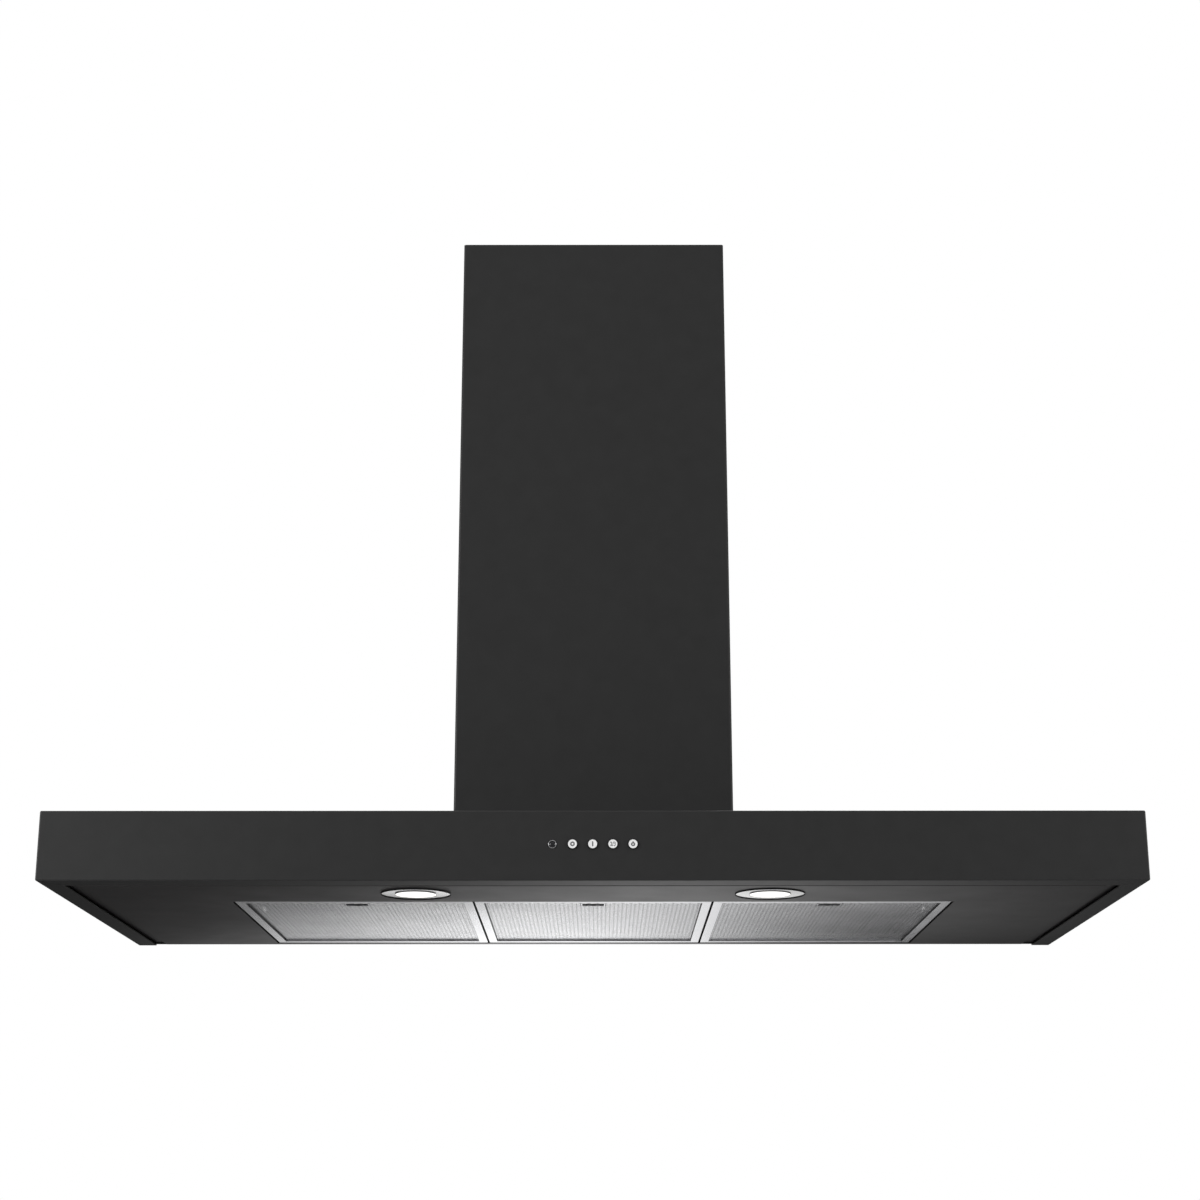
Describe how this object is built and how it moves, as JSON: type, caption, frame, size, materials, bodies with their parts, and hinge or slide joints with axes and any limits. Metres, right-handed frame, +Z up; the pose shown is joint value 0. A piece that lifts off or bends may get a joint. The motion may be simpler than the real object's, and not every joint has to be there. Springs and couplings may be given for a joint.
{
  "type": "wall-mounted chimney range hood",
  "caption": "Wall-mounted extractor hood: a flat black box canopy with mesh grease filters, round lamps and push buttons below, and a two-piece telescoping chimney over its fan.",
  "frame": {"origin": "centre of the wall rail's back face, on the wall plane, 270 mm above the canopy's underside", "axes": "+Z up, +Y into the wall (the front faces -Y), +X to the right as seen from the front"},
  "size_m": [1.1, 0.5025, 0.795],
  "materials": {
    "black_enamel": "black powder coat, satin",
    "black_panel": "black coat, semi-gloss",
    "filter_aluminium": "mill, lightly brushed",
    "filter_mesh": "expanded mesh, mill",
    "chrome_trim": "polished",
    "button_silver": "silver, satin",
    "frosted_lens": "frosted white diffuser",
    "dark_lens": "smoked",
    "black_plastic": "moulded",
    "white_plastic": "moulded",
    "galvanised_steel": "galvanised",
    "fastener_steel": "zinc plated"
  },
  "bodies": {
    "hood": {"canopy_body": "black_enamel", "filter_panel": "black_panel", "lamp_bezel_left": "chrome_trim", "lamp_lens_left": "frosted_lens", "lamp_body_left": "galvanised_steel", "lamp_bezel_right": "chrome_trim", "lamp_lens_right": "frosted_lens", "lamp_body_right": "galvanised_steel", "switch_block": "black_plastic", "pilot_ring": "chrome_trim", "pilot_lens": "dark_lens", "lower_chimney": "black_enamel", "chimney_clip_left": "galvanised_steel", "chimney_clip_right": "galvanised_steel", "chimney_screw_left": "fastener_steel", "chimney_screw_right": "fastener_steel", "wall_rail": "galvanised_steel", "fan_box_hanger": "galvanised_steel", "fan_box": "galvanised_steel", "fan_box_screw_1": "fastener_steel", "fan_box_screw_2": "fastener_steel", "fan_box_screw_3": "fastener_steel", "fan_box_screw_4": "fastener_steel", "volute_left": "black_plastic", "volute_right": "black_plastic", "motor_spider": "fastener_steel", "motor": "fastener_steel", "capacitor": "white_plastic", "outlet_collar": "black_plastic", "damper_pin_front": "fastener_steel", "damper_pin_rear": "fastener_steel", "terminal_box": "white_plastic", "terminal_lid": "white_plastic", "cable_gland": "black_plastic", "lamp_driver": "white_plastic"},
    "chimney_extension": {"upper_chimney": "black_enamel", "chimney_bracket": "galvanised_steel"},
    "fan_wheel": {"impeller": "galvanised_steel", "motor_shaft": "fastener_steel"},
    "filter_left": {"filter_frame_left": "filter_aluminium", "filter_net_left": "filter_mesh", "filter_media_left": "filter_mesh"},
    "filter_centre": {"filter_frame_centre": "filter_aluminium", "filter_net_centre": "filter_mesh", "filter_media_centre": "filter_mesh"},
    "filter_right": {"filter_frame_right": "filter_aluminium", "filter_net_right": "filter_mesh", "filter_media_right": "filter_mesh"},
    "latch_left": {"filter_latch_left": "filter_aluminium"},
    "latch_centre": {"filter_latch_centre": "filter_aluminium"},
    "latch_right": {"filter_latch_right": "filter_aluminium"},
    "off_button": {"button_off": "button_silver"},
    "speed_1_button": {"button_speed_1": "button_silver"},
    "speed_2_button": {"button_speed_2": "button_silver"},
    "light_button": {"button_light": "button_silver"},
    "front_flap": {"damper_flap_front": "filter_aluminium"},
    "rear_flap": {"damper_flap_rear": "filter_aluminium"}
  },
  "joints": [
    {"name": "chimney_slide", "type": "slide", "parent": "hood", "child": "chimney_extension", "axis": [0, 0, 1], "range_m": [0, 0.4]},
    {"name": "fan_spin", "type": "hinge", "parent": "hood", "child": "fan_wheel", "pos_m": [0, -0.14, -0.0797], "axis": [1, 0, 0], "continuous": true},
    {"name": "filter_left_drop", "type": "hinge", "parent": "hood", "child": "filter_left", "pos_m": [-0.2525, -0.016, -0.2685], "axis": [1, 0, 0], "range_deg": [0, 60]},
    {"name": "filter_centre_drop", "type": "hinge", "parent": "hood", "child": "filter_centre", "pos_m": [0, -0.016, -0.2685], "axis": [1, 0, 0], "range_deg": [0, 60]},
    {"name": "filter_right_drop", "type": "hinge", "parent": "hood", "child": "filter_right", "pos_m": [0.2525, -0.016, -0.2685], "axis": [1, 0, 0], "range_deg": [0, 60]},
    {"name": "latch_left_slide", "type": "slide", "parent": "filter_left", "child": "latch_left", "axis": [0, 1, 0], "range_m": [0, 0.006], "stiffness_N_per_m": 300, "springref_m": -0.004},
    {"name": "latch_centre_slide", "type": "slide", "parent": "filter_centre", "child": "latch_centre", "axis": [0, 1, 0], "range_m": [0, 0.006], "stiffness_N_per_m": 300, "springref_m": -0.004},
    {"name": "latch_right_slide", "type": "slide", "parent": "filter_right", "child": "latch_right", "axis": [0, 1, 0], "range_m": [0, 0.006], "stiffness_N_per_m": 300, "springref_m": -0.004},
    {"name": "off_push", "type": "slide", "parent": "hood", "child": "off_button", "axis": [0, 1, 0], "range_m": [0, 0.002], "stiffness_N_per_m": 600, "springref_m": -0.002},
    {"name": "speed_1_push", "type": "slide", "parent": "hood", "child": "speed_1_button", "axis": [0, 1, 0], "range_m": [0, 0.002], "stiffness_N_per_m": 600, "springref_m": -0.002},
    {"name": "speed_2_push", "type": "slide", "parent": "hood", "child": "speed_2_button", "axis": [0, 1, 0], "range_m": [0, 0.002], "stiffness_N_per_m": 600, "springref_m": -0.002},
    {"name": "light_push", "type": "slide", "parent": "hood", "child": "light_button", "axis": [0, 1, 0], "range_m": [0, 0.002], "stiffness_N_per_m": 600, "springref_m": -0.002},
    {"name": "front_flap_swing", "type": "hinge", "parent": "hood", "child": "front_flap", "pos_m": [0, -0.0985, 0.0839], "axis": [-1, 0, 0], "range_deg": [0, 80]},
    {"name": "rear_flap_swing", "type": "hinge", "parent": "hood", "child": "rear_flap", "pos_m": [0, -0.0895, 0.0839], "axis": [1, 0, 0], "range_deg": [0, 80]}
  ]
}
